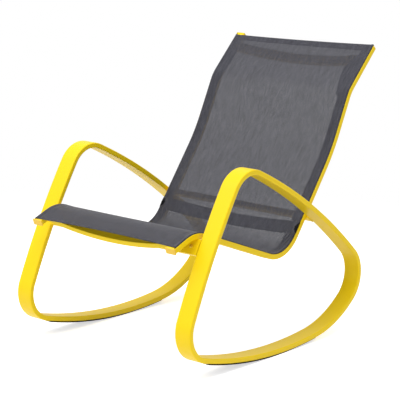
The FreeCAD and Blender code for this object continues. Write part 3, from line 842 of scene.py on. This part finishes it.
def stitch_paths():
    """Rows of stitches on the cloth: a length, and a flat point for each part of it."""
    side_x = SIDE_HEM_INSIDE + STITCH_INSET

    def cross_row(line):
        def at(part):
            x = side_x * (2 * part - 1)
            return x, line(x)
        return 2 * side_x, at

    def side_row(sign, low, high):
        def at(part):
            distance = low + (high - low) * part
            return sign * (side_hem_inside(distance, sign) + STITCH_INSET), distance
        return high - low, at

    in_hem = END_HEM - STITCH_INSET
    in_seam = SEAM_HALF_WIDE - STITCH_INSET
    rows = [
        cross_row(lambda x: pull_in(x, in_hem)),
        cross_row(lambda x: pull_in(x, RAIL_LENGTH - in_hem)),
        cross_row(lambda x: seam_line(x) - in_seam),
        cross_row(lambda x: seam_line(x) + in_seam),
    ]
    for sign in SIDES.values():
        rows.append(side_row(sign, END_HEM, NOTCH_AT - NOTCH_HALF_LONG))
        rows.append(side_row(sign, NOTCH_AT + NOTCH_HALF_LONG, RAIL_LENGTH - END_HEM))
    return rows


def stitch_rows():
    """Short raised dashes of thread along every hem and seam."""
    shape = bmesh.new()
    for length, path in stitch_paths():
        count = int(length / STITCH_PITCH)
        reach = STITCH_LONG / 2 / length
        for k in range(count):
            middle = (k + 0.5) / count
            parts = [min(max(middle + way * reach, 0), 1) for way in (-1, 1)]
            add_stitch(shape, *[outer_cloth(*path(part)) for part in parts])
    return piece_from(shape, "hem_stitches")


def add_stitch(shape, first, last):
    """One stitch: a thin spindle of thread that dips into the cloth at both ends."""
    start, normal = first
    stop = last[0]
    aside = (stop - start).normalized().cross(normal)
    rings = []
    for part, radius, height in STITCH_FORM:
        lift = CLOTH_THICK / 2 + STITCH_RADIUS * (height - STITCH_SUNK)
        middle = start.lerp(stop, part) + normal * lift
        rings.append(ring_round(shape, middle, aside, normal, STITCH_RADIUS * radius, STITCH_SIDES))
    join_rings(shape, rings)
    close_ends(shape, rings)


def spline_ends(side, sign):
    """The spline's ends, which stand out of the slot where the hems leave a notch."""
    shape = bmesh.new()
    rings = []
    low, high = NOTCH_AT - SPLINE_HALF_LONG, NOTCH_AT + SPLINE_HALF_LONG
    for distance in even_steps(low, high, SPLINE_STEP):
        part = max(0.0, 1 - abs(distance - NOTCH_AT) / SPLINE_HALF_LONG)
        swell = SPLINE_LEAST + SPLINE_SWELL * part ** 0.6
        inside = across_cloth(FLAT_HALF, distance)[0] - SPLINE_UNDER_CLOTH
        top, foot = [], []
        for k in range(SPLINE_COLUMNS + 1):
            share = k / SPLINE_COLUMNS
            x = sign * (inside + (SPLINE_OUTSIDE - inside) * share)
            crown = 1 - (2 * share - 1) ** 4
            top.append(on_face(x, distance, SPLINE_RIM + swell * crown)[0])
            foot.append(on_face(x, distance, SPLINE_FOOT)[0])
        rings.append([shape.verts.new(point) for point in top + foot[::-1]])
    join_rings(shape, rings)
    close_ends(shape, rings)
    bmesh.ops.recalc_face_normals(shape, faces=shape.faces)
    return piece_from(shape, f"{side}_spline_ends", SHARP_FITTING)


def build_sling(finishes):
    """The stretched mesh with its hems, seam, stitches and the splines that show at the notches."""
    sling = show(outer_sheet(), finishes["mesh"])
    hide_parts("sling")
    layers = [end_hem("front"), end_hem("top"), seam_band()]
    for side, sign in SIDES.items():
        layers += [side_hem(side, sign, part) for part in ("seat", "back")]
    for layer in layers:
        show(layer, finishes["hem"])
    stitching = show(stitch_rows(), finishes["thread"])
    for side, sign in SIDES.items():
        show(spline_ends(side, sign), finishes["spline"])


# Bolts and welds


def bar_axis():
    """Middle of the front cross bar and the direction that its wide front face points in."""
    low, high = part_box("front_cross_bar")
    areas = {}
    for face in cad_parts["front_cross_bar"].data.polygons:
        facing = tuple(round(value, 2) for value in face.normal)
        if facing[1] < 0:
            areas[facing] = areas.get(facing, 0.0) + face.area
    return (low + high) / 2, Vector(max(areas, key=areas.get)).normalized()


def turned(name, outline, place, segments=32):
    """A round piece turned about its own Z from an outline of radius and height, then placed."""
    shape = bmesh.new()
    points = [shape.verts.new((radius, 0, height)) for radius, height in outline]
    edges = [shape.edges.new(pair) for pair in zip(points, points[1:])]
    bmesh.ops.spin(shape, geom=points + edges, axis=(0, 0, 1), cent=(0, 0, 0),
                   steps=segments, angle=2 * math.pi, use_merge=True)
    bmesh.ops.remove_doubles(shape, verts=shape.verts, dist=0.001 * MM)
    bmesh.ops.recalc_face_normals(shape, faces=shape.faces)
    shape.transform(place)
    return piece_from(shape, name, SHARP_FITTING)


def bolt_outline():
    """Bolt from the foot of its shank to the socket in its domed head."""
    foot = -(2 * BAR_HALF_THICK + BRACKET_THICK + NUT_THICK + BOLT_SPARE)
    shank = [(0.0, foot), (BOLT_RADIUS * 0.8, foot), (BOLT_RADIUS, foot + BOLT_TIP),
             (BOLT_RADIUS, 0.0)]
    dome = [(HEAD_RADIUS, 0.0)]
    for k in range(1, HEAD_STEPS):
        angle = math.radians(90) * k / HEAD_STEPS
        radius = HEAD_RADIUS * math.cos(angle) ** HEAD_FULLNESS
        if radius > SOCKET_RADIUS * 1.1:
            dome.append((radius, HEAD_BRIM + (HEAD_HEIGHT - HEAD_BRIM) * math.sin(angle)))
    floor = HEAD_HEIGHT - SOCKET_DEPTH
    socket = [(SOCKET_RADIUS, HEAD_HEIGHT), (SOCKET_RADIUS, floor), (0.0, floor - SOCKET_CONE)]
    return shank + dome + socket


def hexagon_nut(name, place):
    """Hexagon nut with its corners turned off."""
    outline = [
        (NUT_FACE_RADIUS, 0),
        (NUT_RADIUS, NUT_CHAMFER),
        (NUT_RADIUS, NUT_THICK - NUT_CHAMFER),
        (NUT_FACE_RADIUS, NUT_THICK),
        (BOLT_RADIUS, NUT_THICK),
        (BOLT_RADIUS, 0),
        (NUT_FACE_RADIUS, 0),
    ]
    piece = turned(name, outline, place, segments=6)
    piece.data.shade_flat()
    return piece


def build_bolts(finishes):
    middle, facing = bar_axis()
    turn = facing.to_track_quat("Z", "Y").to_matrix().to_4x4()
    for side, sign in SIDES.items():
        point = Vector((sign * BOLT_OFFSET, middle.y, middle.z))
        head = Matrix.Translation(point + facing * BAR_HALF_THICK) @ turn
        bolt = turned(f"{side}_front_bolt", bolt_outline(), head)
        show(bolt, finishes["bolt"])
        back = point - facing * (BAR_HALF_THICK + BRACKET_THICK + NUT_THICK)
        nut = hexagon_nut(f"{side}_front_nut", Matrix.Translation(back) @ turn)
        show(nut, finishes["bolt"])


def turns_left(first, second, third):
    """Whether a path through three flat points turns left at the second one."""
    one = second[0] - first[0], second[1] - first[1]
    two = third[0] - first[0], third[1] - first[1]
    return one[0] * two[1] - one[1] * two[0] > 0


def end_outline(node, sign):
    """Corners round the end face of a bar, in order, on the side that the sign gives."""
    corners = [vertex.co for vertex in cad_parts[node].data.vertices]
    reach = max(sign * corner.x for corner in corners)
    at_end = [corner for corner in corners if sign * corner.x > reach - 0.1 * MM]
    flat = sorted({(round(corner.y, 5), round(corner.z, 5)) for corner in at_end})
    hull = []
    for points in (flat, flat[::-1]):
        chain = []
        for point in points:
            while len(chain) > 1 and not turns_left(*chain[-2:], point):
                chain.pop()
            chain.append(point)
        hull += chain[:-1]
    return [Vector((sign * reach, y, z)) for y, z in hull]


def weld_bead(name, corners):
    """A rippled bead of weld round a closed outline."""
    path = []
    for start, end in zip(corners, corners[1:] + corners[:1]):
        steps = max(1, round((end - start).length / WELD_STEP))
        path += [start.lerp(end, k / steps) for k in range(steps)]
    middle = sum(path, Vector()) / len(path)
    shape = bmesh.new()
    rings = []
    for k, point in enumerate(path):
        out = (point - middle).normalized()
        radius = WELD_RADIUS * (1 + WELD_RIPPLE * math.sin(k * WELD_RIPPLE_TURN))
        rings.append(ring_round(shape, point, out, ACROSS, radius, WELD_SIDES))
    join_rings(shape, rings + rings[:1])
    bmesh.ops.recalc_face_normals(shape, faces=shape.faces)
    return piece_from(shape, name)


def build_welds(finishes):
    for bar in WELDED_BARS:
        for side, sign in SIDES.items():
            bead = weld_bead(f"{side}_{bar}_weld", end_outline(bar, sign))
            show(bead, finishes["coat"])


# Stage


def in_view(tree):
    """1 for what the camera sees, also mirrored or through glass, and 0 for light on the chair."""
    rays = add_node(tree, "LightPath").outputs
    mirrored = math_node(tree, "MAXIMUM", rays["Is Glossy Ray"], rays["Is Transmission Ray"])
    return math_node(tree, "MAXIMUM", rays["Is Camera Ray"], mirrored)


def floor_material():
    """Pale floor that fades out with distance; its glow in view softens the shadow on it."""
    material, tree, shader = new_material(
        "pale_floor", Base_Color=srgb(245, 245, 245), Roughness=0.9, Specular_IOR_Level=0.1,
        Emission_Color=(1, 1, 1, 1))
    reach = add_node(tree, "VectorMath", operation="LENGTH")
    feed(tree, reach.inputs[0], add_node(tree, "TexCoord").outputs["Object"])
    fade = add_node(tree, "MapRange", interpolation_type="SMOOTHSTEP")
    feed(tree, fade.inputs["Value"], reach.outputs["Value"])
    feed(tree, fade.inputs["From Min"], FLOOR_FADES_FROM)
    feed(tree, fade.inputs["From Max"], FLOOR_RADIUS)
    feed(tree, fade.inputs["To Min"], 1.0)
    feed(tree, fade.inputs["To Max"], 0.0)
    feed(tree, shader.inputs["Alpha"], fade.outputs["Result"])
    glow = math_node(tree, "MULTIPLY", in_view(tree), FLOOR_GLOW)
    feed(tree, shader.inputs["Emission Strength"], glow)
    return material


def build_floor():
    """A disc that takes the chair's shadow and fades out into the white studio."""
    shape = bmesh.new()
    bmesh.ops.create_circle(shape, cap_ends=True, segments=96, radius=FLOOR_RADIUS)
    mesh = bpy.data.meshes.new("studio_floor")
    shape.to_mesh(mesh)
    shape.free()
    mesh.materials.append(floor_material())
    new_piece("studio_floor", mesh)


def add_lamp(name, place, size, watts):
    lamp = bpy.data.lights.new(name, "AREA")
    lamp.shape = "DISK"
    lamp.size = size
    lamp.energy = watts
    holder = bpy.data.objects.new(name, lamp)
    turn = (LAMP_AIM - place).to_track_quat("-Z", "Y").to_matrix().to_4x4()
    holder.matrix_world = Matrix.Translation(place) @ turn
    bpy.context.scene.collection.objects.link(holder)


def build_lights():
    """Soft boxes in front and above, in a white studio that lights less than it shows."""
    for name, (place, size, watts) in LAMPS.items():
        add_lamp(name, place, size, watts)
    world = bpy.data.worlds.new("white_studio")
    world.use_nodes = True
    tree = world.node_tree
    background = tree.nodes["Background"]
    background.inputs["Color"].default_value = (1, 1, 1, 1)
    strength = math_node(tree, "MULTIPLY_ADD", in_view(tree), 1 - STUDIO_LIGHT, STUDIO_LIGHT)
    feed(tree, background.inputs["Strength"], strength)
    bpy.context.scene.world = world


def build_camera():
    azimuth, elevation = math.radians(CAMERA_AZIMUTH), math.radians(CAMERA_ELEVATION)
    back = Vector((
        math.sin(azimuth) * math.cos(elevation),
        -math.cos(azimuth) * math.cos(elevation),
        math.sin(elevation),
    ))
    lens = bpy.data.cameras.new("photo_camera")
    lens.sensor_width = CAMERA_SENSOR
    lens.lens = CAMERA_SENSOR * CAMERA_FOCAL_PIXELS / PHOTO_SIDE
    camera = bpy.data.objects.new("photo_camera", lens)
    level = (-back).to_track_quat("-Z", "Y").to_matrix().to_4x4()
    roll = Matrix.Rotation(math.radians(CAMERA_ROLL), 4, "Z")
    place = Matrix.Translation(CAMERA_TARGET + back * CAMERA_DISTANCE)
    camera.matrix_world = place @ level @ roll
    bpy.context.scene.collection.objects.link(camera)
    bpy.context.scene.camera = camera


finishes = make_finishes()
build_frame(finishes)
build_sling(finishes)
build_bolts(finishes)
build_welds(finishes)
build_floor()
build_lights()
build_camera()
bpy.context.scene.view_settings.view_transform = "Standard"
